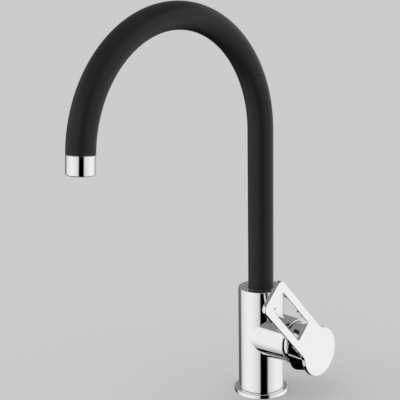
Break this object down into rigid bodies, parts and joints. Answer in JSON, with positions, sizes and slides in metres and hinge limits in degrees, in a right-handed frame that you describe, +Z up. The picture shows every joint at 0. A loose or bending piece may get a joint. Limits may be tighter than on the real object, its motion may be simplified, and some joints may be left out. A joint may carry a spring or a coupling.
{
  "type": "kitchen mixer tap",
  "caption": "Single-lever kitchen mixer tap: chrome body with a side lever that has an open loop, and a tall black swan-neck spout that swivels.",
  "frame": {"origin": "centre of the base ring's underside, on the worktop", "axes": "+Z up, the spout points along -Y, the lever housing branches along +X"},
  "size_m": [0.0964, 0.2681, 0.3902],
  "materials": {
    "polished_chrome": "polished chrome plating",
    "satin_black": "satin black coating",
    "brass": "machined",
    "stainless_steel": "machined",
    "black_rubber": "matte",
    "white_acetal": "moulded",
    "grey_plastic": "moulded",
    "white_ceramic": "lapped ceramic"
  },
  "bodies": {
    "tap_body": {"body_casting": "polished_chrome", "base_ring": "polished_chrome", "base_gasket": "black_rubber", "hot_inlet_nipple": "brass", "cold_inlet_nipple": "brass", "spout_retaining_screw": "stainless_steel", "lower_spout_bush": "white_acetal", "upper_spout_bush": "white_acetal", "spout_cover_ring": "polished_chrome", "cartridge_seal": "black_rubber", "cartridge_base": "white_acetal", "fixed_ceramic_disc": "white_ceramic", "cartridge_housing": "white_acetal", "cartridge_nut": "brass", "dome_ring": "polished_chrome"},
    "spout": {"spout_tube": "satin_black", "spout_tail": "brass", "lower_spout_o_ring": "black_rubber", "upper_spout_o_ring": "black_rubber", "nozzle_sleeve": "polished_chrome", "aerator_insert": "white_acetal", "aerator_screen": "stainless_steel", "aerator_seal": "black_rubber"},
    "lever_turret": {"cartridge_turret": "white_acetal", "lever_pivot_pin": "stainless_steel"},
    "disc_pack": {"moving_ceramic_disc": "white_ceramic", "disc_carrier": "grey_plastic"},
    "lever": {"lever_stem": "stainless_steel", "lever_hub": "polished_chrome", "lever_plate": "polished_chrome", "lever_grub_screw": "stainless_steel", "screw_hole_plug": "grey_plastic"}
  },
  "joints": [
    {"name": "spout_swivel", "type": "hinge", "parent": "tap_body", "child": "spout", "pos_m": [0, 0, 0.1085], "axis": [0, 0, 1], "continuous": true},
    {"name": "lever_turn", "type": "hinge", "parent": "tap_body", "child": "lever_turret", "pos_m": [0.0377, 0, 0.0613], "axis": [1, 0, 0], "range_deg": [-44, 44]},
    {"name": "lever_lift", "type": "hinge", "parent": "lever_turret", "child": "lever", "pos_m": [0.0377, 0, 0.0613], "axis": [0, 0.7169, 0.6972], "range_deg": [0, 22]},
    {"name": "disc_slide", "type": "slide", "parent": "lever_turret", "child": "disc_pack", "axis": [0, -0.6972, 0.7169], "range_m": [0, 0.00285]}
  ],
  "couplings": [
    {"joint": "disc_slide", "follows": "lever_lift", "m_per_rad": 0.007415}
  ]
}
